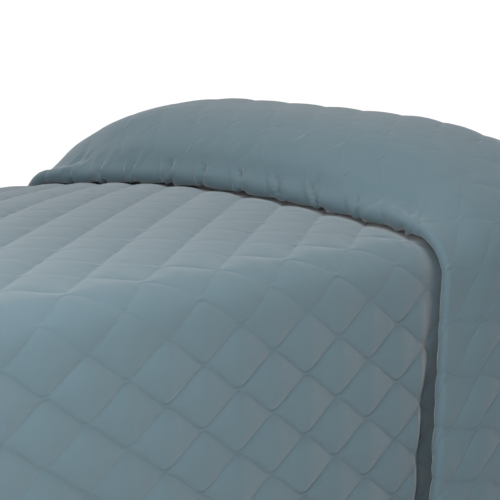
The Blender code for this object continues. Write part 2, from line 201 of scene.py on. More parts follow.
class Drape:
    """Where each thread of the cloth's middle surface lies."""

    FLUTE_ANGLE = math.radians(11)
    VALLEY_ANGLE = math.radians(10)
    EASE_START = 0.200
    EASE_LENGTH = 0.100
    ARC_SAMPLES = 40
    TABLE_COLUMNS = 120
    FOLD_ROWS = {"dip": 14, "under": 12, "hidden_fold": 8, "between": 12, "front_fold": 6}
    CORNER = (-0.06, 0.10)  # from the flat top's edge: where the fold starts to run ahead, and over what
    DEEP_AT = 0.5  # share of the drop where the dip beside the fold is as deep as it gets
    SHORTER_DIP, SHORTER_AT = 0.25, 0.3  # the dip is shorter down the side, from this share of the drop
    CROWN_RISE = 0.3  # length over which the crown rises from the foot
    CROWN_END, CROWN_FALL = 0.40, 0.30  # past the tuck: where the crown has gone, and over what length
    FAN_LOST, FAN_LENGTH = 0.6, 0.25  # share of the fan that is lost behind the fold, and over what length
    SETTLE_LENGTH = 0.12  # past the tuck, over which the lower side comes level again

    def __init__(self):
        bed, tuck, trim = sizes("quilt_bed"), sizes("quilt_tuck"), sizes("quilt_trim")
        self.bed, self.tuck = bed, tuck
        self.wrap = 0.0003 + trim.binding_thickness
        self.half_width = bed.width / 2 + trim.half_thickness
        self.top = bed.height + trim.half_thickness
        self.radius = bed.edge_radius + trim.half_thickness
        self.flat = self.half_width - self.radius
        self.arc_end = self.flat + math.pi / 2 * self.radius
        self.hem = self.arc_end + self.top - self.radius - self.wrap
        self.head_end = bed.pillow_depth + bed.behind_pillow
        cloth_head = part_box("batting")[1][1]
        self.tuck_y = cloth_head - self.head_end + tuck.fold_radius
        self.foot_y = self.tuck_y - bed.to_tuck + self.radius - trim.half_thickness
        self.rows = self.make_rows()
        self.measure()

    def cross_section(self, s, lift, swell):
        """Across the bed, the places x and z of the threads that lie s from the middle of the cloth."""
        bed = self.bed
        sink = np.minimum(lift, 0.0)
        lift = lift - sink
        half = self.half_width + lift + bed.pillow_overhang * swell
        across = self.radius + lift + (bed.pillow_end_width - self.radius) * swell
        down = self.radius + lift + (bed.pillow_end_height - self.radius) * swell
        top = self.top + lift + bed.pillow_rise * swell
        flat = half - across
        turn = np.linspace(0, math.pi / 2, self.ARC_SAMPLES)
        x = across[:, None] * np.sin(turn)
        z = down[:, None] * (np.cos(turn) - 1)
        step = np.hypot(np.diff(x, axis=1), np.diff(z, axis=1))
        run = np.concatenate([np.zeros((len(s), 1)), np.cumsum(step, axis=1)], axis=1)
        wanted = np.clip(s - flat, 0, run[:, -1])
        low = np.clip((run < wanted[:, None]).sum(1) - 1, 0, self.ARC_SAMPLES - 2)
        rows = np.arange(len(s))
        share = (wanted - run[rows, low]) / np.maximum(run[rows, low + 1] - run[rows, low], 1e-12)
        place_x = flat + x[rows, low] + share * (x[rows, low + 1] - x[rows, low])
        place_x = np.where(s < flat, s, place_x)
        place_z = top + z[rows, low] + share * (z[rows, low + 1] - z[rows, low])
        place_z -= np.maximum(0.0, s - flat - run[:, -1])
        tilt = math.pi / 2 * np.clip((s - flat) / run[:, -1], 0, 1)
        return place_x + sink * np.sin(tilt), place_z + sink * np.cos(tilt)

    def make_rows(self):
        """Crosswise grid lines, from the foot hem to the head end: what each one follows, and where."""
        grid, tuck, bed = sizes("quilt_grid"), self.tuck, self.bed
        step = sizes("quilt_cells").cell_length / grid.per_cell
        count = round((self.hem - self.flat) / step)
        rows = [("foot", 1 - k / count) for k in range(count)]
        flat_length = bed.to_tuck - self.radius + sizes("quilt_trim").half_thickness - tuck.sink_length
        count = round(flat_length / step)
        rows += [("flat", k / count) for k in range(count)]
        for kind, count in self.FOLD_ROWS.items():
            rows += [(kind, k / count) for k in range(count)]
        quarter = [tuck.fold_radius * (1 - math.cos(math.pi / 2 * k / 6)) for k in range(7)]
        angle = np.linspace(0, math.pi / 2, 400)
        rising = bed.pillow_ridge * (1 - np.cos(angle))
        falling = np.linspace(bed.pillow_ridge + 0.001, bed.pillow_depth, 200)
        along = np.concatenate([rising, falling])
        height = bed.pillow_rise * self.swell(along)
        run = np.concatenate([[0], np.cumsum(np.hypot(np.diff(along), np.diff(height)))])
        marks = np.arange(0, run[-1], step)
        spaced = [a for a in np.interp(marks, run, along) if a > 1.3 * tuck.fold_radius]
        tail = np.linspace(bed.pillow_depth, self.head_end, 5)
        rows += [("outer", a) for a in [*quarter, *spaced, *tail]]
        return rows

    def swell(self, along):
        """The pillow's height, from 0 to 1, at a distance along from the fold at its front."""
        bed = self.bed
        front = np.sqrt(np.clip(1 - (1 - along / bed.pillow_ridge) ** 2, 0, 1))
        behind = np.clip((along - bed.pillow_ridge) / (bed.pillow_depth - bed.pillow_ridge), 0, 1)
        return np.where(along < bed.pillow_ridge, front, np.cos(math.pi / 2 * behind))

    def row_points(self, row, s, depth):
        """The places of the threads that lie s from the middle, on one row, for x above 0."""
        kind, at = self.rows[row]
        if kind == "foot":
            return self.foot_points(s, at)
        tuck, radius = self.tuck, self.tuck.fold_radius
        hanging = np.clip(s - self.arc_end, 0, self.hem - self.arc_end)
        down = hanging / (self.hem - self.arc_end)
        shift = -tuck.slant * hanging - tuck.corner * fade(s - self.flat, *self.CORNER)
        fan = tuck.fan * down
        sink = tuck.sink + (tuck.side_sink - tuck.sink) * smooth_step(down / self.DEEP_AT)
        dip_length = tuck.sink_length * (1 - self.SHORTER_DIP * smooth_step(down / self.SHORTER_AT))
        inner = 2 * radius - sink + fan / 2
        zero = np.zeros_like(s)
        flat_start = self.foot_y - self.tuck_y
        if kind == "flat":
            y, lift = flat_start + (shift - dip_length - flat_start) * at, zero
        elif kind == "dip":
            y, lift = shift - dip_length * (1 - at), -sink * smooth_step(at) ** 1.3
        elif kind == "under":
            y, lift = shift + depth * at, -sink
        elif kind == "hidden_fold":
            turn = math.pi * at
            y = shift + depth + radius * math.sin(turn)
            lift = (inner + sink) / 2 * (1 - math.cos(turn)) - sink
        elif kind == "between":
            y = shift + depth * (1 - at)
            lift = inner + (2 * radius + fan - tuck.sink - inner) * smooth_step(at)
        elif kind == "front_fold":
            turn = math.pi / 2 * at
            y = shift - radius * math.sin(turn)
            lift = radius * (3 - math.cos(turn)) + fan - tuck.sink
        else:
            return self.outer_points(s, at, shift, fan)
        x, z = self.cross_section(s, lift, zero)
        return np.stack([x, y + self.tuck_y, z + self.crown(s, y, flat_start)], 1)

    def crown(self, s, y, flat_start):
        """The mattress is a little higher along its middle."""
        across = np.clip(1 - (s / self.flat) ** 2, 0, 1)
        rising = smooth_step((y - flat_start) / self.CROWN_RISE)
        along = rising * smooth_step((self.CROWN_END - y) / self.CROWN_FALL)
        return self.bed.crown * across * along

    def outer_points(self, s, along, shift, fan):
        """Rows of the outer layer, from the fold over the pillow to the head end."""
        radius = self.tuck.fold_radius
        rounding = math.sqrt(max(0.0, radius**2 - max(0.0, radius - along) ** 2))
        fan = fan * (1 - self.FAN_LOST * smooth_step(along / self.FAN_LENGTH))
        lift = 3 * radius - self.tuck.sink + rounding + fan
        on_side = smooth_step((s - self.EASE_START) / (self.arc_end - self.EASE_START))
        ease = 1 - on_side * (1 - smooth_step(along / self.EASE_LENGTH))
        swell = float(self.swell(np.array(along))) * ease
        x, z = self.cross_section(s, lift, swell)
        y = along - radius + shift * (1 - along / self.head_end)
        z = z + self.crown(s, y, self.foot_y - self.tuck_y)
        return np.stack([x, y + self.tuck_y, z], 1)

    def foot_points(self, s, share):
        """Rows of the foot drop, which follow the round corners."""
        full = self.hem - self.flat
        beside = np.clip(s - self.flat, 0, full)
        below = share * np.sqrt(np.maximum(full**2 - beside**2, 0.0))
        out = np.hypot(beside, below)
        turn = np.arctan2(below, np.maximum(beside, 1e-12))
        x, z = self.cross_section(self.flat + out, np.zeros_like(s), np.zeros_like(s))
        flare = self.FLUTE_ANGLE * np.sin(4 * turn) ** 2 + self.VALLEY_ANGLE * np.sin(2 * turn) ** 2
        hanging = np.clip(out - (self.arc_end - self.flat), 0, None)
        reach = x - self.flat + hanging * np.sin(flare)
        z = z + hanging * (1 - np.cos(flare))
        foot_x = np.minimum(s, self.flat) + reach * np.cos(turn)
        return np.stack([foot_x, self.foot_y - reach * np.sin(turn), z], 1)

    def measure(self):
        """Tables, over s, of how deep each thread is tucked and how far along it each row comes."""
        self.table_s = np.linspace(0, self.hem, self.TABLE_COLUMNS)
        zero = np.zeros_like(self.table_s)
        kinds = [kind for kind, _ in self.rows]
        first_outer, self.first_flat = kinds.index("outer"), kinds.index("flat")
        path = [self.row_points(r, self.table_s, zero) for r in range(first_outer, len(kinds))]
        length = sum(np.linalg.norm(b - a, axis=1) for a, b in zip(path, path[1:]))
        self.table_depth = self.tuck.depth + (length[0] - length) / 2
        run, last, table = zero, None, []
        for row in range(self.first_flat, len(kinds)):
            points = self.row_points(row, self.table_s, self.table_depth)
            if last is not None:
                run = run + np.linalg.norm(points - last, axis=1)
            table.append(run)
            last = points
        self.table_v = np.array(table)

    def v_at(self, row, s):
        """How far along the cloth a row is, from the foot edge of the bed's top."""
        if row < self.first_flat:
            full = self.hem - self.flat
            beside = np.clip(s - self.flat, 0, full)
            return -self.rows[row][1] * np.sqrt(np.maximum(full**2 - beside**2, 0.0))
        return np.interp(s, self.table_s, self.table_v[row - self.first_flat])

    def place(self, row, u):
        """The places of the threads u on one row; the left edge of the top lies a little lower."""
        s = np.abs(u)
        points = self.row_points(row, s, np.interp(s, self.table_s, self.table_depth))
        points[:, 0] *= np.sign(u)
        past = points[:, 1] - self.tuck_y
        lower = self.bed.settle * smooth_step(-u / self.flat) * (1 - smooth_step(past / self.SETTLE_LENGTH))
        points[:, 2] -= lower * np.clip(points[:, 2] / self.top, 0, 1) ** 2
        return points


class Pattern:
    """The wavy quilting lines, which run along the bed and touch at the ends of each cell."""

    STRIP_MARKS = (0.0, 0.05, 0.15, 0.31, 0.5, 0.69, 0.85, 0.95)
    TURN_SHARPNESS = 0.94

    def __init__(self, drape):
        cells, trim = sizes("quilt_cells"), sizes("quilt_trim")
        self.drape = drape
        self.pitch = cells.cell_width / 2
        self.swing = (self.pitch - cells.line_gap) / 2
        self.wave = 2 * math.pi / cells.cell_length
        self.touch_v = drape.bed.to_tuck + trim.half_thickness - drape.radius + cells.first_touch
        top_face = drape.top + trim.half_thickness
        self.touch_u = drape.arc_end + (drape.top - drape.radius) - (top_face - cells.touch_height)
        inside = drape.hem - trim.binding_width - self.pitch / 2 - self.swing
        low = math.ceil((-inside - self.touch_u) / self.pitch - 0.5)
        high = math.floor((inside - self.touch_u) / self.pitch - 0.5)
        self.numbers = list(range(low, high + 1))

    def zigzag(self, v):
        """From -1 to 1 along a line: straight flanks between rounded turns."""
        wave = np.cos(self.wave * (v - self.touch_v))
        return np.arcsin(self.TURN_SHARPNESS * wave) / math.asin(self.TURN_SHARPNESS)

    def columns(self):
        """The lengthwise grid lines: between which two lines each runs, and at what share."""
        made = []
        edges = [None, *self.numbers, None]
        for near, far in zip(edges, edges[1:]):
            outer_strip = near is None or far is None
            marks = self.STRIP_MARKS if not outer_strip else [k / 8 for k in range(8)]
            made += [(near, far, share) for share in marks]
        return made + [(self.numbers[-1], None, 1.0)]


class QuiltGrid:
    """Cloth coordinates, middle surface and loft for every point of the grid."""

    # The shape of one cell, as powers and shares of the loft.
    LEAST_WIDTH = 0.10
    CELL_FULLNESS, WIDTH_FULLNESS, BAND_FULLNESS = 0.85, 0.85, 0.7
    UNEVENNESS = 0.12
    # Bands on the top: their height, their ends from the edge of the flat top, and from the foot.
    BAND_HEIGHT = 0.62
    BAND_SIDE, BAND_FOOT = (-0.05, 0.08), (0.02, 0.40)
    # Bands down the drops: where they start below the top and from the foot, and how strong they are.
    DROP_START, DROP_FOOT = 0.15, 0.15
    DROP_SHARE, DROP_MORE = 0.15, 0.40
    DROP_END = 0.45
    # A slack seam draws a band in by this share, over this distance.
    DENT, DENT_WIDTH = 0.08, 0.010
    # Puckers beside the seams and creases all over: height, and how far they reach or change.
    PUCKER, PUCKER_REACH, PUCKER_SIZE = 0.00045, 0.009, 0.0055
    CREASE, CREASE_SIZE = 0.00030, 0.013
    # Pinches in front of the pillow.
    PINCH_DEPTH, PINCH_SHIFT = 0.0110, 0.006
    PINCH_REACH, PINCH_LEAN = (0.035, 0.080), (-0.55, -0.15)
    ROLL_HEIGHT = 0.0046

    def __init__(self):
        self.drape = Drape()
        self.pattern = Pattern(self.drape)
        self.lay_out()
        self.loft_cells()

    def lay_out(self):
        drape, pattern = self.drape, self.pattern
        columns = pattern.columns()
        self.near = np.array([NO_LINE if a is None else a for a, _, _ in columns])
        self.far = np.array([NO_LINE if b is None else b for _, b, _ in columns])
        self.share = np.array([c for _, _, c in columns])
        first = np.where(self.near == NO_LINE, pattern.numbers[0], self.near)
        guess = np.clip(pattern.touch_u + (first + 1) * pattern.pitch, -drape.hem, drape.hem)
        self.u, self.v, self.points = [], [], []
        for row in range(len(drape.rows)):
            u = guess
            for _ in range(3):
                low, high = self.strip_edges(drape.v_at(row, np.abs(u)))
                u = low + (high - low) * self.share
            guess = u
            self.u.append(u)
            self.v.append(drape.v_at(row, np.abs(u)))
            self.points.append(drape.place(row, u))
        self.u, self.v = np.array(self.u), np.array(self.v)
        self.points = np.array(self.points)

    def strip_edges(self, v):
        """The quilting lines, or the hem, on each side of every column."""
        hem = self.drape.hem
        low = np.where(self.near == NO_LINE, -hem, self.lines(self.near, v))
        high = np.where(self.far == NO_LINE, hem, self.lines(self.far, v))
        return low, high

    def lines(self, number, v):
        pattern = self.pattern
        side = np.where(number % 2 == 0, 1, -1)
        middle = pattern.touch_u + (number + 0.5) * pattern.pitch
        return middle - side * pattern.swing * pattern.zigzag(v)

    def loft_cells(self):
        """How far each point stands off the middle surface, on the face and on the back."""
        cells = sizes("quilt_cells")
        low, high = self.strip_edges(self.v)
        gap = (high - low) * np.minimum(self.share, 1 - self.share)
        puff, pucker = self.puffs(high - low, gap), self.puckers(gap)
        self.face = cells.sewn_height + cells.face_loft * puff * self.slack() + pucker + self.pillow_front()
        self.back = cells.sewn_height + cells.back_loft * puff * self.tuck_slack() - 0.5 * pucker
        hem = smooth_step(self.from_edge() / HEM_FADE)
        self.face = EDGE_HEIGHT + (self.face - EDGE_HEIGHT) * hem
        self.back = EDGE_HEIGHT + (self.back - EDGE_HEIGHT) * hem

    def puffs(self, wide, gap):
        """The loft, from 0 to about 1: single cells, or bands of them where the cloth is pulled one way."""
        cells, drape, pattern = sizes("quilt_cells"), self.drape, self.pattern
        s = np.abs(self.u)
        width = np.clip(wide / cells.cell_width, self.LEAST_WIDTH, 1)
        across = self.share + np.where(self.near == NO_LINE, (1 - self.share) / 2, 0)
        across = across - np.where(self.far == NO_LINE, across / 2, 0)
        bulge = np.clip(4 * across * (1 - across), 0, 1) ** self.CELL_FULLNESS
        cell = np.floor((self.v - pattern.touch_v) / cells.cell_length + 0.5 * (self.near % 2 == 0))
        jitter = 1 + self.UNEVENNESS * np.sin(cell * 12.9898 + self.near * 78.233)
        puff = bulge * width**self.WIDTH_FULLNESS * jitter
        dents = 1 - self.DENT * dome(gap, 0, self.DENT_WIDTH)
        top = (1 - fade(s - drape.flat, *self.BAND_SIDE)) * fade(self.v, *self.BAND_FOOT)
        puff = puff + top * (self.BAND_HEIGHT * self.bands(1) * dents - puff)
        hanging = fade(s, drape.arc_end, self.DROP_START) * smooth_step(self.v / self.DROP_FOOT)
        from_tuck = drape.bed.to_tuck - self.v
        pulled = self.DROP_SHARE + self.DROP_MORE * fade(from_tuck, self.DROP_END, self.DROP_END)
        return puff + hanging * pulled * (self.bands(-np.sign(self.u)) * dents - puff)

    def bands(self, way):
        """Slanting bands of cells: way is 1 or -1, for the seams between them."""
        cells, pattern = sizes("quilt_cells"), self.pattern
        along = (self.v - pattern.touch_v) / cells.cell_length
        phase = (self.u - pattern.touch_u) / (2 * pattern.pitch) + way * along
        phase = phase - np.floor(phase)
        return (4 * phase * (1 - phase)) ** self.BAND_FULLNESS

    def puckers(self, gap):
        """Small wrinkles, tightest beside the seams."""
        seam_near = np.exp(-(gap / self.PUCKER_REACH))
        along = smooth_noise(self.u * 0.35, self.v, self.PUCKER_SIZE, SEED)
        creased = smooth_noise(self.u, self.v, self.CREASE_SIZE, SEED + 1)
        return (self.PUCKER * along * seam_near + self.CREASE * creased) * (self.share > 0)

    def from_edge(self):
        """How far each point is from the nearest hem."""
        drape = self.drape
        side = drape.hem - np.abs(self.u)
        head = self.v[-1] - self.v
        full = drape.hem - drape.flat
        beside = np.clip(np.abs(self.u) - drape.flat, 0, full)
        foot = full - np.hypot(beside, np.minimum(self.v, 0))
        return np.maximum(0, np.minimum(np.minimum(side, head), foot))

    def rise(self):
        """How far up each point is from the fold in front of the pillow, along the cloth."""
        first = [kind for kind, _ in self.drape.rows].index("outer")
        return self.v - self.v[first]

    def slack(self):
        """Where the cloth is pulled flat, the cells puff up less."""
        drape, rise = self.drape, self.rise()
        s = np.abs(self.u)
        beside = s - drape.flat
        near_fold = np.array([at if kind == "dip" else 0.0 for kind, at in drape.rows])
        main = 1 - 0.72 * dome(beside, 0.045, 0.075)
        main = main * (1 - 0.55 * smooth_step(near_fold / 0.5)[:, None] * smooth_step(beside / 0.1))
        over_front = 0.85 - 0.72 * smooth_step(rise / 0.03) + 0.34 * fade(rise, 0.22, 0.12)
        over_side = 0.22 + 0.45 * fade(s, drape.arc_end, 0.30)
        share = fade(beside, -0.02, 0.10)
        pillow = over_front * (1 - share) + over_side * share
        folds = [kind in ("outer", "front_fold") for kind, _ in drape.rows]
        made = np.where(np.array(folds)[:, None], pillow, main)
        return made * self.tuck_slack()

    def tuck_slack(self):
        """The cells are squeezed flat inside the tuck."""
        squeezed = {"under": 0.45, "hidden_fold": 0.3, "between": 0.45, "front_fold": 0.7}
        made = np.array([squeezed.get(kind, 1.0) for kind, _ in self.drape.rows])
        kernel = np.ones(7) / 7
        return np.convolve(np.pad(made, 3, mode="edge"), kernel, mode="valid")[:, None]

    def pillow_front(self):
        """Pinched creases and a soft roll where the cloth comes out of the tuck."""
        drape, pitch = self.drape, sizes("quilt_cells").cell_width
        rise = self.rise()
        on_top = 1 - fade(np.abs(self.u) - drape.flat, -0.01, 0.05)
        low = fade(rise, -0.016, 0.010)
        made = np.zeros_like(self.u)
        chooser = random.Random(SEED)
        first = math.ceil((-drape.flat - CREASE_START) / pitch)
        last = math.floor((drape.flat - CREASE_START) / pitch)
        for number in range(first, last + 1):
            shift = chooser.uniform(-self.PINCH_SHIFT, self.PINCH_SHIFT)
            reach = chooser.uniform(*self.PINCH_REACH)
            lean = chooser.uniform(*self.PINCH_LEAN)
            line = CREASE_START + number * pitch + shift
            line = line + lean * rise + 0.004 * np.sin(rise / 0.011 + number)
            strength = low * (1 - smooth_step((rise - 0.3 * reach) / reach))
            gap = (self.u - line) / (0.0045 + 0.05 * np.maximum(rise, 0))
            made -= self.PINCH_DEPTH * strength * dome(gap, 0, 1)
            made += 0.0038 * strength * dome(gap, 2.2, 1) + 0.0028 * strength * dome(gap, -2.4, 1)
        roll = dome(rise, 0.005, 0.014) - 0.35 * dome(rise, 0.036, 0.014)
        made += self.ROLL_HEIGHT * roll * low
        return made * on_top


def grid_faces(drape, rows, columns):
    """Faces of a grid whose foot corners close to a point at the side hems."""
    index = np.arange(rows * columns).reshape(rows, columns)
    index[: drape.first_flat, 0] = index[drape.first_flat, 0]
    index[: drape.first_flat, -1] = index[drape.first_flat, -1]
    a, b = index[:-1, :-1].ravel(), index[:-1, 1:].ravel()
    c, d = index[1:, 1:].ravel(), index[1:, :-1].ravel()
    faces = []
    for quad in zip(*(side.tolist() for side in (a, b, c, d))):
        ring = list(dict.fromkeys(quad))
        if len(ring) > 2:
            faces.append(ring)
    return index, faces


def border(index):
    """The grid's edge as one loop of point numbers."""
    loop = [*index[0, :], *index[1:, -1], *index[-1, -2::-1], *index[-2:0:-1, 0]]
    return list(dict.fromkeys(int(k) for k in loop))


# ---------------------------------------------------------------- meshes and materials


class Socket:
    """A value in a shader, which can be used in Python sums."""

    def __init__(self, shader, link):
        self.shader, self.link = shader, link

    def math(self, operation, *others):
        values = dict(enumerate((self, *others)))
        return self.shader.node("ShaderNodeMath", {"operation": operation}, values)

    def __add__(self, other):
        return self.math("ADD", other)

    def __mul__(self, other):
        return self.math("MULTIPLY", other)

    __radd__ = __add__


class Shader:
    """A material under construction."""

    def __init__(self, name):
        self.material = bpy.data.materials.new(name)
        self.material.use_nodes = True
        self.tree = self.material.node_tree
        self.principled = self.tree.nodes["Principled BSDF"]

    def node(self, kind, settings=None, values=None, output=0):
        made = self.tree.nodes.new(kind)
        for key, value in (settings or {}).items():
            setattr(made, key, value)
        for key, value in (values or {}).items():
            self.feed(made.inputs[key], value)
        return Socket(self, made.outputs[output])

    def feed(self, target, value):
        if isinstance(value, Socket):
            self.tree.links.new(value.link, target)
        else:
            target.default_value = value

    def finish(self, **values):
        for key, value in values.items():
            self.feed(self.principled.inputs[key.replace("_", " ")], value)
        return self.material


def mixed(shader, share, low, high):
    """Between two colours."""
    values = {"Factor": share, 6: (*low, 1), 7: (*high, 1)}
    return shader.node("ShaderNodeMix", {"data_type": "RGBA"}, values, output=2)


def shade(colour, amount):
    return tuple(min(1.0, part * amount) for part in colour)


def wave(shader, place, direction, scale, distortion):
    """Fine ribs, for threads."""
    values = {"Vector": place, "Scale": scale, "Distortion": distortion}
    return shader.node("ShaderNodeTexWave", {"bands_direction": direction}, values)


def noise(shader, place, scale, detail):
    return shader.node("ShaderNodeTexNoise", None, {"Vector": place, "Scale": scale, "Detail": detail})


def cloth_material(name, colour, sheen):
    """Brushed microfibre: a fine weave, a soft nap and faint shading in the dye."""
    shader = Shader(name)
    place = shader.node("ShaderNodeUVMap", {"uv_map": "cloth"})
    nap = noise(shader, place, 420.0, 3.0)
    cloud = noise(shader, place, 7.0, 2.0)
    warp = wave(shader, place, "X", 420.0, 1.0)
    weft = wave(shader, place, "Y", 420.0, 1.0)
    tone = cloud * 0.5 + nap * 0.5
    height = nap * 0.6 + (warp + weft) * 0.2
    bump = shader.node("ShaderNodeBump", None, {"Strength": 0.25, "Distance": 0.0006, "Height": height})
    return shader.finish(
        Base_Color=mixed(shader, tone, shade(colour, 0.93), shade(colour, 1.07)),
        Roughness=0.86 + nap * 0.08,
        Specular_IOR_Level=0.25,
        Sheen_Weight=sheen,
        Sheen_Roughness=0.45,
        Normal=bump,
    )


def thread_material(name, colour):
    """Twisted polyester thread with a slight lustre."""
    shader = Shader(name)
    place = shader.node("ShaderNodeTexCoord", output=3)
    twist = noise(shader, place, 900.0, 2.0)
    bump = shader.node("ShaderNodeBump", None, {"Strength": 0.3, "Distance": 0.0003, "Height": twist})
    return shader.finish(
        Base_Color=mixed(shader, twist, shade(colour, 0.85), shade(colour, 1.15)),
        Roughness=0.5 + twist * 0.1,
        Sheen_Weight=0.2,
        Normal=bump,
    )


def new_piece(name, points, faces, material, uv=None):
    """A mesh object at the origin, riding on the quilt's one body."""
    mesh = bpy.data.meshes.new(name)
    mesh.from_pydata(points, [], faces)
    if uv is not None:
        layer = mesh.uv_layers.new(name="cloth")
        corners = np.empty(len(mesh.loops), dtype=np.int32)
        mesh.loops.foreach_get("vertex_index", corners)
        layer.data.foreach_set("uv", np.asarray(uv, dtype=np.float32)[corners].ravel())
    mesh.materials.append(material)
    mesh.shade_smooth()
    mesh.update()
    made = bpy.data.objects.new(name, mesh)
    bpy.context.scene.collection.objects.link(made)
    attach(made, ROOT)
    return made


def surface_normals(points, faces):
    mesh = bpy.data.meshes.new("normals")
    mesh.from_pydata(points, [], faces)
    found = np.empty(len(points) * 3, dtype=np.float32)
    mesh.vertex_normals.foreach_get("vector", found)
    bpy.data.meshes.remove(mesh)
    return found.reshape(-1, 3).astype(float)


def the_grid():
    """The grid is worked out once and shared by the pieces."""
    if "grid" not in KEPT:
        KEPT["grid"] = QuiltGrid()
    return KEPT["grid"]


KEPT = {}
STITCH_LENGTH = 0.80  # of the pitch
STITCH_WIDTH = 1.5  # half the width of a stitch, in radii of its thread


# ---------------------------------------------------------------- the pieces


class QUILT_OT_cloth(bpy.types.Operator):
    """Add the quilted cloth: its face, its wadding's loft and its backing"""

    bl_idname = "quilt.cloth"
    bl_label = "Quilted Cloth"

    def execute(self, context):
        grid = the_grid()
        rows, columns = grid.u.shape
        index, over = grid_faces(grid.drape, rows, columns)
        middle = grid.points.reshape(-1, 3)
        normals = surface_normals(middle, over)
        KEPT["normals"] = normals
        face = middle + normals * grid.face.reshape(-1, 1)
        back = middle - normals * grid.back.reshape(-1, 1)
        KEPT["face"], KEPT["back"] = face, back
        count = len(middle)
        under = [[k + count for k in ring[::-1]] for ring in over]
        loop = border(index)
        rim = [(b, a, a + count, b + count) for a, b in zip(loop, loop[1:] + loop[:1])]
        place = np.stack([grid.u.ravel(), grid.v.ravel()], 1)
        points = np.concatenate([face, back])
        used = np.zeros(2 * count, bool)
        used[index.ravel()] = True
        used[index.ravel() + count] = True
        renumber = np.cumsum(used) - 1
        faces = [[int(renumber[k]) for k in ring] for ring in (*over, *under, *rim)]
        colours = sizes("quilt_colours")
        material = cloth_material("quilted_microfibre", tuple(colours.face), sheen=0.25)
        made = new_piece(
            "quilted_cloth",
            points[used].tolist(),
            faces,
            material,
            uv=np.concatenate([place, place])[used],
        )
        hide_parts(*CLOTH_LAYERS)
        KEPT["cloth"] = made
        return {"FINISHED"}


def edge_frames(grid, points, inner):
    """At each point of an edge: the place, the direction out of the cloth, and its face's direction."""
    middle = grid.points.reshape(-1, 3)
    place = middle[points]
    face_way = KEPT["normals"][points]
    out = place - middle[inner]
    out -= face_way * (out * face_way).sum(1)[:, None]
    return place, out / np.linalg.norm(out, axis=1)[:, None], face_way


def binding_outline():
    """A folded strip with a rounded edge, as (out, height) points."""
    trim = sizes("quilt_trim")
    inside = EDGE_HEIGHT + 0.0002
    outside = inside + trim.binding_thickness
    turn = np.linspace(math.pi / 2, -math.pi / 2, 9)
    nose = [(0.0002 + 0.55 * outside * math.cos(t), outside * math.sin(t)) for t in turn]
    hollow = [(0.0001 + 0.45 * inside * math.cos(t), inside * math.sin(t)) for t in turn[::-1]]
    width = trim.binding_width
    ins = (-width, -width * 0.93, -width * 0.55)
    lows = (outside - 0.0004, outside + 0.0001, outside)
    front = [(a, h) for a, h in zip(ins, lows)]
    back = [(a, -h) for a, h in zip(ins[::-1], lows[::-1])]
    return [*front, *nose, *back, (-width, -inside), *hollow, (-width, inside)]


def swept(name, frames, outline, material):
    """A closed strip with the same outline at every point of an edge."""
    place, out, way = frames
    count = len(outline)
    rings = [place + out * a + way * h for a, h in outline]
    points = np.stack(rings, 1).reshape(-1, 3)
    run = np.concatenate([[0], np.cumsum(np.linalg.norm(np.diff(place, axis=0), axis=1))])
    faces = []
    for k in range(len(place) - 1):
        for j in range(count):
            a, b = k * count + j, k * count + (j + 1) % count
            faces.append((a, b, b + count, a + count))
    faces.append(tuple(range(count))[::-1])
    faces.append(tuple(range((len(place) - 1) * count, len(place) * count)))
    uv = np.stack([np.repeat(run, count), np.tile(np.arange(count) * 0.0016, len(place))], 1)
    made = new_piece(name, points.tolist(), faces, material, uv=uv)
    point_outwards(made.data)
    return made


def point_outwards(mesh):
    shell = bmesh.new()
    shell.from_mesh(mesh)
    bmesh.ops.recalc_face_normals(shell, faces=shell.faces[:])
    shell.to_mesh(mesh)
    shell.free()


def edge_points(grid):
    """The grid points along each hem, with a point further in for each."""
    drape = grid.drape
    rows, columns = grid.u.shape
    index, _ = grid_faces(drape, rows, columns)
    start = drape.first_flat
    low, high = index[start:, 0], index[start:, -1]
    left = (low, index[start:, 3])
    right = (high, index[start:, -4])
    foot = (index[0, :], index[2, :])
    foot[1][0], foot[1][-1] = index[start, 3], index[start, -4]
    ends = slice(8, -8)
    head = (index[-1, ends], index[-3, ends])
    return {"left": left, "right": right, "foot": foot, "head": head}


class QUILT_OT_binding(bpy.types.Operator):
    """Add the binding round the hems, with its stitching"""

    bl_idname = "quilt.binding"
    bl_label = "Binding"

    def execute(self, context):
        grid = the_grid()
        colours, trim = sizes("quilt_colours"), sizes("quilt_trim")
        cloth = binding_material("binding_strip", tuple(colours.binding))
        thread = thread_material("binding_thread", tuple(colours.thread))
        outline = binding_outline()
        height = EDGE_HEIGHT + 0.0002 + trim.binding_thickness
        for place, (points, inner) in edge_points(grid).items():
            frames = edge_frames(grid, points, inner)
            strip = swept(f"{place}_binding", frames, outline, cloth)
            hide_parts(f"binding_{place}")
            inset = trim.binding_width - trim.stitch_inset
            rows = [frames[0] - frames[1] * inset + frames[2] * height * side for side in (1, -1)]
            lines = [(row, frames[2] * side) for row, side in zip(rows, (1, -1))]
            sewn = stitches(f"{place}_binding_stitches", lines, thread)
            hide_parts(f"binding_stitching_{place}")
            KEPT["trim"] = [*KEPT.get("trim", []), strip, sewn]
        return {"FINISHED"}


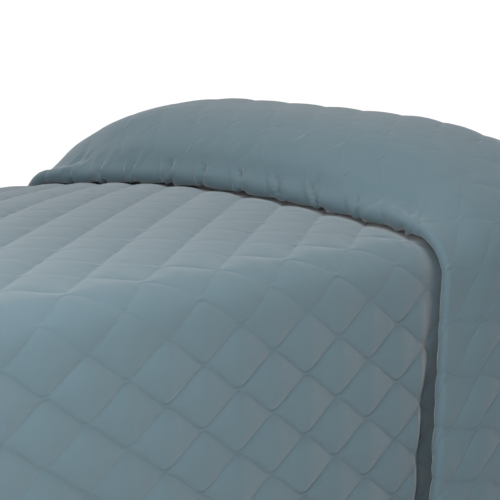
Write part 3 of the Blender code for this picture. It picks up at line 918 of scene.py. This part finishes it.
def stitches(name, lines, material):
    """Short raised stitches, one after another along each line of points."""
    cells = sizes("quilt_cells")
    centres, ways, ups = [], [], []
    for points, normals in lines:
        run = np.concatenate([[0], np.cumsum(np.linalg.norm(np.diff(points, axis=0), axis=1))])
        marks = np.arange(cells.stitch_pitch, run[-1] - cells.stitch_pitch, cells.stitch_pitch)
        centre = np.stack([np.interp(marks, run, points[:, k]) for k in range(3)], 1)
        ahead = np.stack([np.interp(marks + 0.001, run, points[:, k]) for k in range(3)], 1)
        up = np.stack([np.interp(marks, run, normals[:, k]) for k in range(3)], 1)
        way = ahead - centre
        centres.append(centre)
        ways.append(way / np.maximum(np.linalg.norm(way, axis=1)[:, None], 1e-9))
        ups.append(up / np.maximum(np.linalg.norm(up, axis=1)[:, None], 1e-9))
    centre, way, up = (np.concatenate(parts) for parts in (centres, ways, ups))
    side = np.cross(up, way)
    half, wide = STITCH_LENGTH / 2 * cells.stitch_pitch, STITCH_WIDTH * cells.thread_radius
    shape = [(half, 0, -0.3), (0, 1, 0), (0, 0, 1), (0, -1, 0), (-half, 0, -0.3), (0, 0, -1)]
    corners = [centre + way * a + side * b * wide + up * c * wide for a, b, c in shape]
    points = np.stack(corners, 1).reshape(-1, 3)
    pattern = [(0, 1, 2), (0, 2, 3), (0, 3, 5), (0, 5, 1), (4, 2, 1), (4, 3, 2), (4, 5, 3), (4, 1, 5)]
    start = np.arange(len(centre)) * 6
    faces = (start[:, None, None] + np.array(pattern)[None]).reshape(-1, 3)
    return new_piece(name, points.tolist(), faces.tolist(), material)


class QUILT_OT_quilting(bpy.types.Operator):
    """Add the quilting stitches on the face and on the backing"""

    bl_idname = "quilt.quilting"
    bl_label = "Quilting Stitches"

    def execute(self, context):
        grid = the_grid()
        rows, columns = grid.u.shape
        thread = thread_material("quilting_thread", tuple(sizes("quilt_colours").thread))
        face = KEPT["face"].reshape(rows, columns, 3)
        back = KEPT["back"].reshape(rows, columns, 3)
        ways = KEPT["normals"].reshape(rows, columns, 3)
        seams = [k for k in range(columns) if grid.share[k] == 0 and grid.near[k] != NO_LINE]
        edge = grid.from_edge()
        for side, surface, sign in (("face", face, 1), ("back", back, -1)):
            for half, chosen in (("left", seams[: len(seams) // 2]), ("right", seams[len(seams) // 2 :])):
                lines = []
                for column in chosen:
                    kept = edge[:, column] > HEM_CLEARANCE
                    lines.append((surface[kept, column], sign * ways[kept, column]))
                stitches(f"quilting_{side}_{half}", lines, thread)
        return {"FINISHED"}


class QUILT_OT_label(bpy.types.Operator):
    """Give the care label its woven ribbon"""

    bl_idname = "quilt.label"
    bl_label = "Care Label"

    def execute(self, context):
        label = bpy.data.objects["care_label"]
        label.data.materials.clear()
        label.data.materials.append(ribbon_material(tuple(sizes("quilt_colours").label)))
        return {"FINISHED"}


def binding_material(name, colour):
    """The face fabric cut across its weave, so its ribs run along the strip."""
    shader = Shader(name)
    place = shader.node("ShaderNodeUVMap", {"uv_map": "cloth"})
    rib = wave(shader, place, "DIAGONAL", 260.0, 0.8)
    nap = noise(shader, place, 300.0, 3.0)
    pull = noise(shader, place, 45.0, 2.0)
    height = rib * 0.25 + nap * 0.5 + pull * 1.5
    bump = shader.node("ShaderNodeBump", None, {"Strength": 0.4, "Distance": 0.0008, "Height": height})
    return shader.finish(
        Base_Color=mixed(shader, nap * 0.6 + pull * 0.4, shade(colour, 0.90), shade(colour, 1.08)),
        Roughness=0.82 + nap * 0.1,
        Specular_IOR_Level=0.25,
        Sheen_Weight=0.2,
        Sheen_Roughness=0.45,
        Normal=bump,
    )


def ribbon_material(colour):
    """A narrow woven ribbon."""
    shader = Shader("woven_ribbon")
    place = shader.node("ShaderNodeTexCoord", output=3)
    weft = wave(shader, place, "Z", 330.0, 0.3)
    warp = wave(shader, place, "Y", 330.0, 0.3)
    height = weft * 0.5 + warp * 0.5
    bump = shader.node("ShaderNodeBump", None, {"Strength": 0.3, "Distance": 0.0004, "Height": height})
    return shader.finish(
        Base_Color=mixed(shader, height, shade(colour, 0.88), shade(colour, 1.0)),
        Roughness=0.45 + height * 0.2,
        Sheen_Weight=0.1,
        Normal=bump,
    )


class QUILT_OT_stage(bpy.types.Operator):
    """Add the floor, the lights and the camera"""

    bl_idname = "quilt.stage"
    bl_label = "Stage"

    def execute(self, context):
        drape = the_grid().drape
        add_floor()
        add_lights(drape)
        add_camera(drape)
        return {"FINISHED"}


def add_floor():
    bpy.ops.object.select_all(action="DESELECT")
    bpy.ops.mesh.primitive_plane_add(size=600, location=(0, 0, 0))
    floor = bpy.context.object
    floor.name = "studio_floor"
    shader = Shader("pale_floor")
    place = shader.node("ShaderNodeTexCoord", output=3)
    grain = shader.node("ShaderNodeTexNoise", None, {"Vector": place, "Scale": 3.0})
    floor.data.materials.append(
        shader.finish(Base_Color=mixed(shader, grain, (0.86,) * 3, (0.9,) * 3), Roughness=0.9)
    )


AREA_LIGHTS = {  # size, power, and place: across the bed, from the tuck and up
    "foot_light": (2.5, 78, (0, -4.0, 1.5)),
    "side_light": (0.6, 10, (1.3, -1.5, 1.0)),
    "upper_light": (0.6, 12, (1.1, -1.2, 1.5)),
    "low_light": (0.8, 12, (1.6, -1.9, 0.7)),
}
LIGHT_AIM = (0.2, -0.3, 0.5)
BROAD_POWER, BROAD_ANGLE = 3.7, 0.8
WORLD_STRENGTH = 0.05


def add_lights(drape):
    """A broad light from above whitens the floor, and soft lights from the foot shape the side."""
    from_tuck = Vector((0, drape.tuck_y, 0))
    for name, (size, power, place) in AREA_LIGHTS.items():
        place = Vector(place) + from_tuck
        bpy.ops.object.light_add(type="AREA", location=place)
        light = bpy.context.object
        light.name = name
        light.data.size = size
        light.data.energy = power
        aim = Vector(LIGHT_AIM) + from_tuck
        light.rotation_euler = (aim - place).to_track_quat("-Z", "Y").to_euler()
    bpy.ops.object.light_add(type="SUN", location=(0, 0, 4))
    broad = bpy.context.object
    broad.name = "broad_light"
    broad.data.energy = BROAD_POWER
    broad.data.angle = BROAD_ANGLE
    world = bpy.data.worlds.new("studio")
    bpy.context.scene.world = world
    world.use_nodes = True
    background = world.node_tree.nodes["Background"]
    background.inputs["Color"].default_value = (1, 1, 1, 1)
    background.inputs["Strength"].default_value = WORLD_STRENGTH
    bpy.context.scene.view_settings.view_transform = "Standard"


CAMERA_YAW = math.radians(46.07)
CAMERA_DIP = math.radians(9.62)
CAMERA_ROLL = math.radians(1.29)
CAMERA_LENS = 124.2
CAMERA_PLACE = (1.610, -2.102, 0.420)  # from the bed's right side, the tuck and the face of the top


def add_camera(drape):
    """The camera looks over the near side from the foot of the bed."""
    face_top = drape.top + sizes("quilt_trim").half_thickness
    start = (sizes("quilt_bed").width / 2, drape.tuck_y, face_top)
    place = tuple(a + b for a, b in zip(start, CAMERA_PLACE))
    level_reach = math.cos(CAMERA_DIP)
    ahead = Vector(
        (-math.cos(CAMERA_YAW) * level_reach, math.sin(CAMERA_YAW) * level_reach, -math.sin(CAMERA_DIP))
    )
    level = Vector((math.sin(CAMERA_YAW), math.cos(CAMERA_YAW), 0))
    above = level.cross(ahead)
    right = level * math.cos(CAMERA_ROLL) + above * math.sin(CAMERA_ROLL)
    up = above * math.cos(CAMERA_ROLL) - level * math.sin(CAMERA_ROLL)
    turned = Matrix((right, up, -ahead)).transposed()
    bpy.ops.object.camera_add(location=place, rotation=turned.to_euler())
    camera = bpy.context.object
    camera.data.lens = CAMERA_LENS
    camera.data.sensor_width = 36
    camera.data.clip_end = 200
    bpy.context.scene.camera = camera


# ---------------------------------------------------------------- the add-on


class QUILT_PT_panel(bpy.types.Panel):
    """Lists the quilt's pieces and its main sizes"""

    bl_idname = "QUILT_PT_panel"
    bl_label = "Quilted Bedspread"
    bl_space_type = "VIEW_3D"
    bl_region_type = "UI"
    bl_category = "Quilt"

    def draw(self, context):
        for operator in OPERATORS:
            self.layout.operator(operator.bl_idname)
        for name in GROUPS:
            box = self.layout.box()
            for key in GROUPS[name].__annotations__:
                box.prop(getattr(context.scene, name), key)


OPERATORS = (QUILT_OT_cloth, QUILT_OT_quilting, QUILT_OT_binding, QUILT_OT_label, QUILT_OT_stage)
CLASSES = (*GROUPS.values(), *OPERATORS, QUILT_PT_panel)


def register():
    for cls in CLASSES:
        bpy.utils.register_class(cls)
    for name, group in GROUPS.items():
        setattr(bpy.types.Scene, name, PointerProperty(type=group))


def unregister():
    for name in GROUPS:
        delattr(bpy.types.Scene, name)
    for cls in reversed(CLASSES):
        bpy.utils.unregister_class(cls)


def main():
    register()
    bpy.ops.quilt.cloth()
    bpy.ops.quilt.quilting()
    bpy.ops.quilt.binding()
    bpy.ops.quilt.label()
    bpy.ops.quilt.stage()
    drape = the_grid().drape
    full = drape.hem - drape.flat
    width, long = 2 * drape.hem, full + float(drape.table_v[-1][0])
    corners = 2 * full**2 * (1 - math.pi / 4)
    area = width * long - corners
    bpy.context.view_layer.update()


if __name__ == "__main__":
    main()
